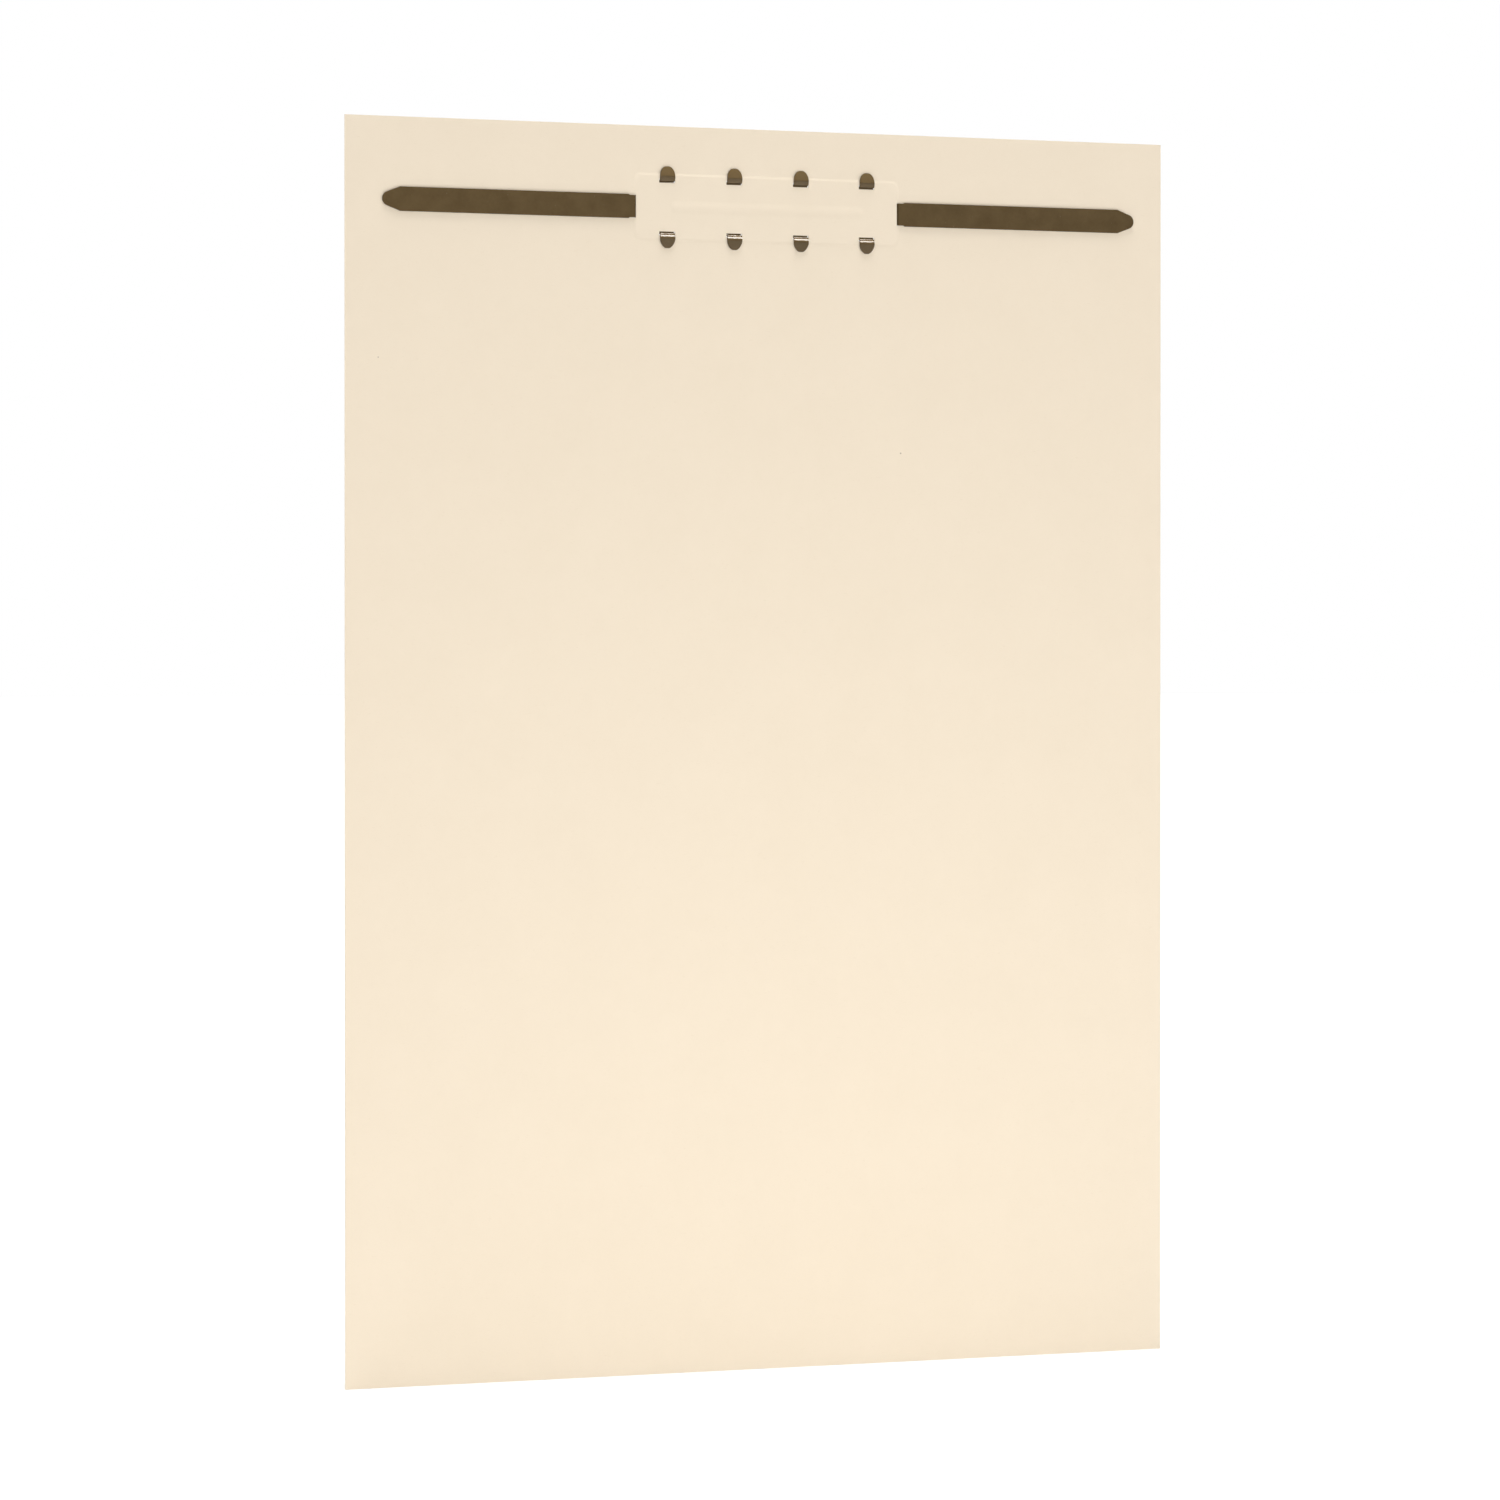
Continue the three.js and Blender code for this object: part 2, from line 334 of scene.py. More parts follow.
class NodeTree:
    """A shader node tree with short ways to add nodes and link them."""

    def __init__(self, tree: bpy.types.NodeTree) -> None:
        """Keeps the tree that nodes are added to."""
        self.tree = tree

    def add(self, kind: str, **settings: object) -> bpy.types.Node:
        """Adds a node.

        Args:
            kind: Its type without the leading ShaderNode.
            settings: Properties of the node by name.

        Returns:
            The node.
        """
        node = self.tree.nodes.new(f"ShaderNode{kind}")
        for name, value in settings.items():
            setattr(node, name, value)
        return node

    def link(self, source: bpy.types.NodeSocket, target: bpy.types.NodeSocket) -> None:
        """Links an output to an input."""
        self.tree.links.new(source, target)

    def math(
        self, operation: str, first: object, second: object, kind: str = "Math", **settings: object
    ) -> bpy.types.NodeSocket:
        """Adds a sum of two values or vectors.

        Args:
            operation: Kind of sum.
            first: First value, a socket or a constant.
            second: Second value.
            kind: Type of the node.
            settings: Other properties of the node.

        Returns:
            The result.
        """
        node = self.add(kind, operation=operation, **settings)
        for slot, value in zip(node.inputs, (first, second)):
            self.feed(value, slot)
        return node.outputs[0]

    def feed(self, value: object, target: bpy.types.NodeSocket) -> None:
        """Puts a value into an input.

        Args:
            value: A socket or a constant.
            target: The input.
        """
        if isinstance(value, bpy.types.NodeSocket):
            self.link(value, target)
        else:
            target.default_value = value

    def mix(self, factor: object, first: object, second: object) -> bpy.types.NodeSocket:
        """Mixes two colours, each a socket or a constant.

        Args:
            factor: Share of the second colour, a socket or a number.
            first: First colour.
            second: Second colour.

        Returns:
            The mixed colour.
        """
        node = self.add("Mix", data_type="RGBA")
        self.feed(factor, node.inputs[0])
        for slot, colour in zip(MIX_COLOURS, (first, second)):
            self.feed(opaque(colour), node.inputs[slot])
        return node.outputs[MIX_RESULT]

    def span(self, value: object, low: float, high: float) -> bpy.types.NodeSocket:
        """Maps a value from 0 to 1 onto a range.

        Args:
            value: The value, a socket or a number.
            low: What 0 becomes.
            high: What 1 becomes.

        Returns:
            The mapped value.
        """
        node = self.add("MapRange")
        self.feed(value, node.inputs["Value"])
        node.inputs["To Min"].default_value = low
        node.inputs["To Max"].default_value = high
        return node.outputs["Result"]

    def noise(self, vector: bpy.types.NodeSocket, scale: object, detail: float) -> bpy.types.NodeSocket:
        """Adds noise.

        Args:
            vector: What it runs over.
            scale: Its scale, a socket or a number.
            detail: Its detail.

        Returns:
            The noise's value.
        """
        node = self.add("TexNoise")
        self.link(vector, node.inputs["Vector"])
        self.feed(scale, node.inputs["Scale"])
        node.inputs["Detail"].default_value = detail
        return node.outputs["Fac"]

    def bump(self, height: bpy.types.NodeSocket, depth: float, normal: bpy.types.NodeSocket) -> None:
        """Adds a relief to a shader.

        Args:
            height: The relief's height, as a share of its depth.
            depth: Its depth in metres.
            normal: The shader's normal.
        """
        node = self.add("Bump")
        node.inputs["Distance"].default_value = depth
        self.link(height, node.inputs["Height"])
        self.link(node.outputs["Normal"], normal)


def opaque(value: object) -> object:
    """Gives a plain colour its alpha and leaves a socket as it is."""
    return (*value, 1.0) if isinstance(value, tuple) and len(value) == 3 else value


def group_tree(name: str, inputs: dict[str, str], outputs: dict[str, str]) -> tuple[NodeTree, dict, dict]:
    """Makes an empty shader node group.

    Args:
        name: Name of the group.
        inputs: Socket type of each input by name.
        outputs: Socket type of each output by name.

    Returns:
        The tree, its input sockets by name and its output sockets by name.
    """
    tree = bpy.data.node_groups.new(name, "ShaderNodeTree")
    for way, sockets in (("INPUT", inputs), ("OUTPUT", outputs)):
        for label, kind in sockets.items():
            tree.interface.new_socket(name=label, in_out=way, socket_type=f"NodeSocket{kind}")
    entry = tree.nodes.new("NodeGroupInput").outputs
    leave = tree.nodes.new("NodeGroupOutput").inputs
    given = {label: entry[label] for label in inputs}
    return NodeTree(tree), given, {label: leave[label] for label in outputs}


@dataclass(frozen=True)
class UnevenPatches:
    """Soft uneven patches: large ones with smaller ones on them."""

    small_scale: float = 5.3
    large_share: float = 0.62
    small_share: float = 0.38
    large_detail: float = 2.0
    small_detail: float = 3.0
    middle: float = 0.5

    def build(self) -> bpy.types.NodeTree:
        """Builds the node group.

        Returns:
            The group's tree.
        """
        inputs = {"Vector": "Vector", "Patch Scale": "Float", "Contrast": "Float"}
        nodes, given, out = group_tree("uneven_patches", inputs, {"Value": "Float"})
        small_scale = nodes.math("MULTIPLY", given["Patch Scale"], self.small_scale)
        large = nodes.noise(given["Vector"], given["Patch Scale"], self.large_detail)
        small = nodes.noise(given["Vector"], small_scale, self.small_detail)
        large = nodes.math("MULTIPLY", large, self.large_share)
        small = nodes.math("MULTIPLY", small, self.small_share)
        centred = nodes.math("SUBTRACT", nodes.math("ADD", large, small), self.middle)
        spread = nodes.math("MULTIPLY", centred, given["Contrast"])
        nodes.link(nodes.math("ADD", spread, self.middle, use_clamp=True), out["Value"])
        return nodes.tree


@dataclass(frozen=True)
class FineFibres:
    """Short fibres or fine scratches that lie along X, wandering a little."""

    bend_share: float = 0.5
    wander: float = 0.0012
    detail: float = 1.0
    bare_limit: float = 0.72
    limit_drop: float = 0.22
    sharpness: float = 7.0

    def build(self) -> bpy.types.NodeTree:
        """Builds the node group.

        Returns:
            The group's tree.
        """
        inputs = {"Vector": "Vector", "Length Scale": "Float", "Width Scale": "Float", "Amount": "Float"}
        nodes, given, out = group_tree("fine_fibres", inputs, {"Mask": "Float"})
        bend = nodes.add("TexNoise")
        nodes.link(given["Vector"], bend.inputs["Vector"])
        nodes.link(nodes.math("MULTIPLY", given["Length Scale"], self.bend_share), bend.inputs["Scale"])
        wander = nodes.add("VectorMath", operation="SCALE")
        nodes.link(bend.outputs["Color"], wander.inputs[0])
        wander.inputs["Scale"].default_value = self.wander
        moved = nodes.math("ADD", given["Vector"], wander.outputs[0], "VectorMath")
        frequency = nodes.add("CombineXYZ")
        for slot, scale in zip(frequency.inputs, ("Length Scale", "Width Scale", "Width Scale")):
            nodes.link(given[scale], slot)
        stretched = nodes.math("MULTIPLY", moved, frequency.outputs[0], "VectorMath")
        streaks = nodes.noise(stretched, 1.0, self.detail)
        drop = nodes.math("MULTIPLY", given["Amount"], self.limit_drop)
        limit = nodes.math("SUBTRACT", self.bare_limit, drop)
        over = nodes.math("SUBTRACT", streaks, limit)
        nodes.link(nodes.math("MULTIPLY", over, self.sharpness, use_clamp=True), out["Mask"])
        return nodes.tree


@dataclass(frozen=True)
class RubbedPlaces:
    """Places where a finish is rubbed thin, broken up by noise."""

    detail: float = 4.0
    first_worn: float = 0.78
    fully_worn: float = 0.92

    def build(self) -> bpy.types.NodeTree:
        """Builds the node group.

        Returns:
            The group's tree.
        """
        inputs = {"Vector": "Vector", "Reach": "Float", "Break Scale": "Float"}
        nodes, given, out = group_tree("rubbed_places", inputs, {"Mask": "Float"})
        ramp = nodes.add("MapRange", interpolation_type="SMOOTHSTEP")
        broken = nodes.noise(given["Vector"], given["Break Scale"], self.detail)
        nodes.link(broken, ramp.inputs["Value"])
        for slot, limit in (("From Min", self.first_worn), ("From Max", self.fully_worn)):
            nodes.link(nodes.math("SUBTRACT", limit, given["Reach"]), ramp.inputs[slot])
        nodes.link(ramp.outputs["Result"], out["Mask"])
        return nodes.tree


class Effects:
    """The node groups that the finishes place, each built once."""

    def __init__(self) -> None:
        """Builds the groups."""
        self.cloud = UnevenPatches().build()
        self.fibre = FineFibres().build()
        self.rub = RubbedPlaces().build()


def blank_material(name: str) -> tuple[bpy.types.Material, NodeTree, bpy.types.Node]:
    """Makes a material with one surface shader.

    Args:
        name: Name of the material.

    Returns:
        The material, its nodes and its shader.
    """
    material = bpy.data.materials.new(name)
    material.use_nodes = True
    nodes = NodeTree(material.node_tree)
    return material, nodes, material.node_tree.nodes["Principled BSDF"]


def place_group(nodes: NodeTree, tree: bpy.types.NodeTree, **values: object) -> bpy.types.NodeSocket:
    """Places a node group in a material.

    Args:
        nodes: The material's nodes.
        tree: The group.
        values: Value or socket of each input, with underscores for the spaces in its name.

    Returns:
        The group's output.
    """
    node = nodes.add("Group", node_tree=tree)
    for name, value in values.items():
        nodes.feed(value, node.inputs[name.replace("_", " ")])
    return node.outputs[0]


@dataclass(frozen=True)
class CardFinish:
    """Uncoated manila card: warm cream stock with faint clouding, fibres and a few dark specks."""

    cream: Colour = (0.826, 0.715, 0.565)
    shade: Colour = (0.808, 0.697, 0.546)
    cloud_scale: float = 55.0
    cloud_contrast: float = 2.2
    fibre_tint: Colour = (0.750, 0.635, 0.480)
    fibre_length: float = 900.0
    fibre_width: float = 5200.0
    fibre_amount: float = 0.35
    fibre_strength: float = 0.35
    speck_tint: Colour = (0.20, 0.15, 0.10)
    speck_scale: float = 110.0
    speck_radius: float = 0.030
    speck_share: float = 0.055
    speck_strength: float = 0.55
    roughness: float = 0.86
    roughness_swing: float = 0.04
    gloss: float = 0.28
    tooth_scale: float = 5200.0
    tooth_detail: float = 4.0
    tooth_depth: float = 4.0e-6
    fibre_height: float = 0.4

    def material(self, effects: Effects) -> bpy.types.Material:
        """Builds the material.

        Args:
            effects: The node groups to place.

        Returns:
            The material.
        """
        material, nodes, shader = blank_material("manila_card_face")
        place = nodes.add("TexCoord").outputs["Object"]
        cloud = place_group(
            nodes, effects.cloud, Vector=place, Patch_Scale=self.cloud_scale, Contrast=self.cloud_contrast
        )
        fibre = place_group(
            nodes, effects.fibre, Vector=place, Length_Scale=self.fibre_length,
            Width_Scale=self.fibre_width, Amount=self.fibre_amount,
        )
        colour = nodes.mix(cloud, self.shade, self.cream)
        colour = nodes.mix(nodes.math("MULTIPLY", fibre, self.fibre_strength), colour, self.fibre_tint)
        colour = nodes.mix(self._specks(nodes, place), colour, self.speck_tint)
        nodes.link(colour, shader.inputs["Base Color"])
        low = self.roughness - self.roughness_swing
        high = self.roughness + self.roughness_swing
        nodes.link(nodes.span(cloud, low, high), shader.inputs["Roughness"])
        shader.inputs["Specular IOR Level"].default_value = self.gloss
        tooth = nodes.noise(place, self.tooth_scale, self.tooth_detail)
        grain = nodes.math("ADD", tooth, nodes.math("MULTIPLY", fibre, self.fibre_height))
        nodes.bump(grain, self.tooth_depth, shader.inputs["Normal"])
        return material

    def _specks(self, nodes: NodeTree, place: bpy.types.NodeSocket) -> bpy.types.NodeSocket:
        """Adds a sparse scatter of bark specks.

        Args:
            nodes: The material's nodes.
            place: Place on the card.

        Returns:
            The specks' mask.
        """
        cells = nodes.add("TexVoronoi")
        nodes.link(place, cells.inputs["Vector"])
        cells.inputs["Scale"].default_value = self.speck_scale
        dot = nodes.math("LESS_THAN", cells.outputs["Distance"], self.speck_radius)
        rare = nodes.add("SeparateColor")
        nodes.link(cells.outputs["Color"], rare.inputs[0])
        kept = nodes.math("LESS_THAN", rare.outputs[0], self.speck_share)
        return nodes.math("MULTIPLY", nodes.math("MULTIPLY", dot, kept), self.speck_strength)


@dataclass(frozen=True)
class LacquerFinish:
    """Bronze-brown lacquer baked on rolled steel strip, with the strip's fine grain under it."""

    tint: Colour = (0.083, 0.050, 0.0145)
    thin: Colour = (0.102, 0.065, 0.0235)
    steel: Colour = (0.36, 0.33, 0.28)
    cloud_scale: float = 260.0
    cloud_contrast: float = 2.4
    grain_length: float = 420.0
    grain_width: float = 16000.0
    grain_amount: float = 0.75
    grain_strength: float = 0.25
    grain_roughness: float = 0.10
    rub_scale: float = 2600.0
    rub_reach: float = 0.10
    rub_strength: float = 0.6
    roughness: Point = (0.31, 0.42)
    metallic: float = 0.75
    gloss: float = 0.3
    film: float = 0.6
    film_roughness: float = 0.1
    relief: float = 1.2e-6

    def material(self, effects: Effects) -> bpy.types.Material:
        """Builds the material.

        Args:
            effects: The node groups to place.

        Returns:
            The material.
        """
        material, nodes, shader = blank_material("bronze_lacquer_face")
        stock = nodes.add("UVMap", uv_map="stock").outputs["UV"]
        cloud = place_group(
            nodes, effects.cloud, Vector=stock, Patch_Scale=self.cloud_scale, Contrast=self.cloud_contrast
        )
        grain = place_group(
            nodes, effects.fibre, Vector=stock, Length_Scale=self.grain_length,
            Width_Scale=self.grain_width, Amount=self.grain_amount,
        )
        worn = place_group(
            nodes, effects.rub, Vector=stock, Reach=self.rub_reach, Break_Scale=self.rub_scale
        )
        colour = nodes.mix(cloud, self.tint, self.thin)
        colour = nodes.mix(nodes.math("MULTIPLY", grain, self.grain_strength), colour, self.thin)
        colour = nodes.mix(nodes.math("MULTIPLY", worn, self.rub_strength), colour, self.steel)
        nodes.link(colour, shader.inputs["Base Color"])
        scratched = nodes.math("MULTIPLY", grain, self.grain_roughness)
        roughness = nodes.math("ADD", nodes.span(cloud, *self.roughness), scratched)
        nodes.link(roughness, shader.inputs["Roughness"])
        shader.inputs["Metallic"].default_value = self.metallic
        shader.inputs["Specular IOR Level"].default_value = self.gloss
        shader.inputs["Coat Weight"].default_value = self.film
        shader.inputs["Coat Roughness"].default_value = self.film_roughness
        nodes.bump(nodes.math("ADD", grain, cloud), self.relief, shader.inputs["Normal"])
        return material


@dataclass(frozen=True)
class Place:
    """Where the fastener sits on the sheet, its layers' depths and cut edges, in millimetres."""

    drop: float = 18.1
    shift: float = 0.7
    card: float = 0.28
    metal: float = 0.25
    press_rise: float = 0.12
    press_gap: float = 0.02
    prong_lift: float = 0.1
    hinge: float = 34.925
    neck_half: float = 2.5
    card_edge: float = 0.02
    metal_edge: float = 0.03

    @property
    def card_front(self) -> float:
        """Front face of the flat card."""
        return -self.card / 2

    @property
    def plateau_front(self) -> float:
        """Front face of the card over the base plate."""
        return self.card_front - self.press_rise

    @property
    def plate_middle(self) -> float:
        """Middle of the base plate's thickness."""
        return self.card / 2 - self.press_rise + self.press_gap + self.metal / 2

    @property
    def prong_middle(self) -> float:
        """Middle of a prong's thickness."""
        return self.card_front - self.prong_lift - self.metal / 2

    def centre(self, sheet_height: float) -> Vector:
        """The fastener's middle in the frame, in metres."""
        return Vector((self.shift, 0, sheet_height - self.drop)) * MM


@dataclass(frozen=True)
class LugEnd:
    """The dome at a lug's end: where it starts, its exponent (2 for an ellipse) and half its blunt nose."""

    start: float
    exponent: float
    nose: float

    def half_width(self, full: float, share: float) -> float:
        """Half width at a share of the way from the dome's start to the tip."""
        fullness = max(0.0, 1 - share ** self.exponent) ** (1 / self.exponent)
        return self.nose + (full - self.nose) * fullness


@dataclass
class LugShape:
    """A clinched lug: it stands up through its slit, slopes over the card and lies down to its tip."""

    place: Place
    root: float = 5.18
    bend_start: float = 5.70
    web: float = 5.925
    bend_radius: float = 0.225
    half_width: float = 1.95
    fold_radius: float = 0.25
    slope: float = 16.0
    slope_end: float = 6.17
    crest_radius: float = 3.0
    crest_gap: float = 0.1
    tip: float = 9.16
    tip_gap: float = 0.02
    fall: float = 1.05
    bend_steps: int = 8
    dome_steps: int = 12
    ends: dict[Row, LugEnd] = field(
        default_factory=lambda: {Row.UPPER: LugEnd(7.01, 1.9, 0.25), Row.LOWER: LugEnd(7.11, 1.6, 0.4)}
    )

    def arch(self) -> list[Point]:
        """Works out the side view of the strip, from its root to the crest of the arch.

        Returns:
            Depth and height of each station.
        """
        middle = self.place.plate_middle
        crest = self.place.plateau_front - self.crest_gap - self.place.metal / 2
        tilt = math.radians(self.slope)
        top = (crest + self.crest_radius, self.slope_end + self.crest_radius * math.sin(tilt))
        slope_y = top[0] - self.crest_radius * math.cos(tilt)
        fold_z = self.web + self.fold_radius * (1 - math.sin(tilt))
        fold_y = slope_y + (self.slope_end - fold_z) * math.tan(tilt)
        fold = (fold_y + self.fold_radius * math.cos(tilt), self.web + self.fold_radius)
        bend = (middle - self.bend_radius, self.bend_start)
        line = [(middle, self.bend_start)]
        line += arc(bend, self.bend_radius, 0, 90, self.bend_steps)
        line.append((fold[0], self.web))
        line += arc(fold, self.fold_radius, -90, self.slope - 180, self.bend_steps)
        line.append((slope_y, self.slope_end))
        line += arc(top, self.crest_radius, 180 + self.slope, 180, 2 * self.bend_steps)
        return line

    def spine(self, row: Row) -> list[tuple[float, float, float]]:
        """Works out the whole strip, from its root to its tip.

        Args:
            row: Which row's lug.

        Returns:
            Depth, height and half width of each station.
        """
        line = self.arch()
        crest, crest_z = line[-1]
        tip_depth = self.place.card_front - self.tip_gap - self.place.metal / 2
        end = self.ends[row]
        stations = [(y, z, self.half_width) for y, z in line]
        for step in range(self.dome_steps + 1):
            share = math.sin(math.radians(90 * step / self.dome_steps))
            z = end.start + (self.tip - end.start) * share
            fallen = ((z - crest_z) / (self.tip - crest_z)) ** self.fall
            depth = crest + (tip_depth - crest) * fallen
            stations.append((depth, z, end.half_width(self.half_width, share)))
        return stations

    def build(self, row: Row) -> Workpiece:
        """Models one lug, over the middle of the fastener and in the upper row's place.

        Args:
            row: Which row's lug.

        Returns:
            The lug, one surface without thickness.
        """
        piece = Workpiece(
            f"lug_{row.name.lower()}",
            (-self.half_width, self.root),
            (self.half_width, self.bend_start),
            self.place.plate_middle,
        )
        piece.pick(Element.EDGE, lambda middle: abs(middle.z - self.bend_start) < NEAR)
        spine = self.spine(row)
        for (y0, z0, w0), (y1, z1, w1) in zip(spine, spine[1:]):
            piece.draw_out(Vector((0, y1 - y0, z1 - z0)), w1 / w0)
        piece.leave()
        return piece


@dataclass
class FastenerBase:
    """The stamped base behind the card: plate, bead, notches, eight lugs and the two necks."""

    place: Place
    lug: LugShape
    end: float = 34.515
    half_height: float = 7.15
    corner: float = 1.5
    notch_gap: float = 0.3
    bead: Patch = Patch(24.515, 0.5, 0.5)
    bead_rise: float = 0.085
    bead_wall: float = 0.7
    bead_side: float = 1.32
    bead_end: tuple[float, ...] = (23.9, 24.365, 24.465, 25.5)
    lugs: tuple[float, ...] = (8.805, 26.415)
    stub: float = 0.2
    rear_bend: float = 0.225
    front_bend: float = 0.175
    bend_steps: int = 6
    corner_steps: int = 8
    corner_gap: float = 0.1
    fine_step: float = 0.12
    plain_step: float = 0.6
    lug_step: float = 1.0
    side_step: float = 1.4
    corner_step: float = 2.0
    wide_step: float = 2.4

    def lug_places(self) -> list[float]:
        """Middles of the four lugs of a row."""
        return sorted(side * x for side in (-1, 1) for x in self.lugs)

    def cuts(self, x: float) -> list[float]:
        """Edges of the lug at a place and of the notches beside it, from left to right."""
        half = self.lug.half_width
        return [x + reach for reach in (-half - self.notch_gap, -half, half, half + self.notch_gap)]

    def plate(self) -> Workpiece:
        """Models the flat plate with its notches, round corners and bead.

        Returns:
            The plate, one surface without thickness.
        """
        blank = Workpiece(
            "fastener_stamping", (-self.end, -self.half_height), (self.end, self.half_height),
            self.place.plate_middle,
        )
        notch = self.lug.half_width + self.notch_gap
        near, far = (self.cuts(x) for x in self.lugs)
        stops = [(x, self.wide_step) for x in (*near, self.bead_end[0])]
        stops += [(x, self.fine_step) for x in self.bead_end[1:]]
        stops += [(x, self.lug_step) for x in far[2:]]
        stops.append((self.end - self.corner - self.corner_gap, self.corner_step))
        places = graded(0.0, stops)
        heights = graded(0.0, [(self.bead_side, self.fine_step), (self.place.neck_half, self.plain_step),
                               (self.lug.root, self.side_step)])
        blank.score(Axis.ACROSS, [side * x for x in places for side in (-1, 1)])
        blank.score(Axis.UP, [side * z for z in heights for side in (-1, 1)])
        blank.punch(lambda middle: abs(middle.z) > self.lug.root
                    and any(abs(middle.x - x) < notch for x in self.lug_places()))
        blank.press(self.bead, self.bead_rise, self.bead_wall)
        self._round_corners(blank)
        blank.leave()
        return blank

    def _round_corners(self, blank: Workpiece) -> None:
        """Rounds the plate's four corners.

        Args:
            blank: The plate.
        """
        blank.pick(
            Element.VERTEX,
            lambda co: abs(co.x) > self.end - NEAR and abs(co.z) > self.half_height - NEAR,
        )
        bpy.ops.mesh.bevel(
            offset=self.corner, offset_type="OFFSET", segments=self.corner_steps, affect="VERTICES"
        )

    def neck(self) -> Workpiece:
        """Models the right neck, from the plate through the card's window to the bend line.

        Returns:
            The neck, one surface without thickness.
        """
        half = self.place.neck_half
        strip = Workpiece("neck", (self.end - self.stub, -half), (self.end, half), self.place.plate_middle)
        heights = graded(0.0, [(self.bead_side, self.fine_step)])
        strip.score(Axis.UP, [side * z for z in heights for side in (-1, 1)])
        strip.pick(Element.EDGE, lambda middle: abs(middle.x - self.end) < NEAR)
        middle = self.place.plate_middle
        web = self.end + self.rear_bend
        low = self.place.prong_middle + self.front_bend
        line = [(self.end, middle)]
        line += arc((self.end, middle - self.rear_bend), self.rear_bend, 90, 0, self.bend_steps)
        line.append((web, low))
        line += arc((web + self.front_bend, low), self.front_bend, 180, 270, self.bend_steps)
        for (x0, y0), (x1, y1) in zip(line, line[1:]):
            strip.draw_out(Vector((x1 - x0, y1 - y0, 0)))
        strip.punch(lambda co: co.x < self.end - NEAR)
        strip.leave()
        return strip

    def build(self) -> Workpiece:
        """Models the whole stamping.

        Returns:
            The stamping, in millimetres about the fastener's middle.
        """
        blank = self.plate()
        parts = []
        for row, turn in ((Row.UPPER, 0.0), (Row.LOWER, math.pi)):
            lug = self.lug.build(row)
            parts += [lug.copy(turn, x) for x in self.lug_places()]
            bpy.data.objects.remove(lug.body)
        neck = self.neck()
        parts += [neck.copy(0.0, 0.0), neck.copy(math.pi, 0.0)]
        bpy.data.objects.remove(neck.body)
        blank.take_in(parts)
        blank.thicken(self.place.metal, self.place.metal_edge)
        return blank

    def dress(self, centre: Vector, material: bpy.types.Material) -> bpy.types.Object:
        """Builds the stamping and hangs it on the divider's body.

        Args:
            centre: The fastener's middle, in metres.
            material: Its finish.

        Returns:
            The finished stamping.
        """
        piece = self.build().settle(centre, material)
        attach(piece, "divider")
        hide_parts("fastener_base")
        return piece


@dataclass
class CardSheet:
    """The card: a letter-size sheet, pressed up over the base, with slits and windows."""

    place: Place
    base: FastenerBase
    width: float = 215.9
    height: float = 279.4
    plateau: Patch = Patch(34.555, 7.0, 1.5)
    plateau_wall: float = 0.75
    bead: Patch = Patch(24.4, 0.14, 0.14)
    bead_wall: float = 1.5
    slit_low: float = 5.46
    slit_high: float = 6.32
    slit_gap: float = 0.12
    window_start: float = 34.555
    window_end: float = 35.105
    window_half: float = 2.54
    bead_side: float = 1.69
    bead_end: Point = (23.7, 25.5)
    end_wall: Point = (32.9, 35.7)
    side_wall: Point = (6.9, 8.1)
    prong_zone: float = 38.0
    side_step: float = 0.12
    fine_step: float = 0.13
    slit_step: float = 0.25
    rim_step: float = 0.3
    plain_step: float = 0.6
    lug_step: float = 1.1
    wide_step: float = 1.4

    def build(self) -> Workpiece:
        """Models the sheet.

        Returns:
            The sheet, in millimetres about the fastener's middle.
        """
        place = self.place
        low = (-self.width / 2 - place.shift, place.drop - self.height)
        high = (self.width / 2 - place.shift, place.drop)
        sheet = Workpiece("card_sheet", low, high, 0)
        slit = self.base.lug.half_width + self.slit_gap
        near, far = self.base.lugs
        stops = [(x, self.wide_step) for x in (near - slit, near + slit, self.bead_end[0])]
        stops += [(x, self.fine_step) for x in (far - slit, self.bead_end[1])]
        stops += [(x, self.lug_step) for x in (far + slit, self.end_wall[0])]
        stops += [(x, self.fine_step) for x in (self.window_start, self.window_end, self.end_wall[1])]
        stops.append((self.prong_zone, self.wide_step))
        places = graded(0.0, stops)
        heights = graded(0.0, [
            (self.bead_side, self.fine_step), (self.window_half, self.plain_step),
            (self.slit_low, self.plain_step), (self.slit_high, self.slit_step),
            (self.side_wall[0], self.rim_step), (self.side_wall[1], self.side_step),
        ])
        sheet.score(Axis.ACROSS, [side * x for x in places for side in (-1, 1)])
        sheet.score(Axis.UP, [side * z for z in heights for side in (-1, 1)])
        sheet.punch(lambda co: self.slit_low < abs(co.z) < self.slit_high
                    and any(abs(co.x - x) < slit for x in self.base.lug_places()))
        sheet.punch(lambda co: self.window_start < abs(co.x) < self.window_end
                    and abs(co.z) < self.window_half)
        sheet.press(self.plateau, place.press_rise, self.plateau_wall)
        sheet.press(self.bead, self.base.bead_rise, self.bead_wall)
        sheet.leave()
        sheet.thicken(place.card, place.card_edge)
        return sheet

    def dress(self, centre: Vector, material: bpy.types.Material) -> bpy.types.Object:
        """Builds the sheet and hangs it on the divider's body.

        Args:
            centre: The fastener's middle, in metres.
            material: Its finish.

        Returns:
            The finished sheet.
        """
        piece = self.build().settle(centre, material)
        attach(piece, "divider")
        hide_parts("divider_sheet")
        return piece


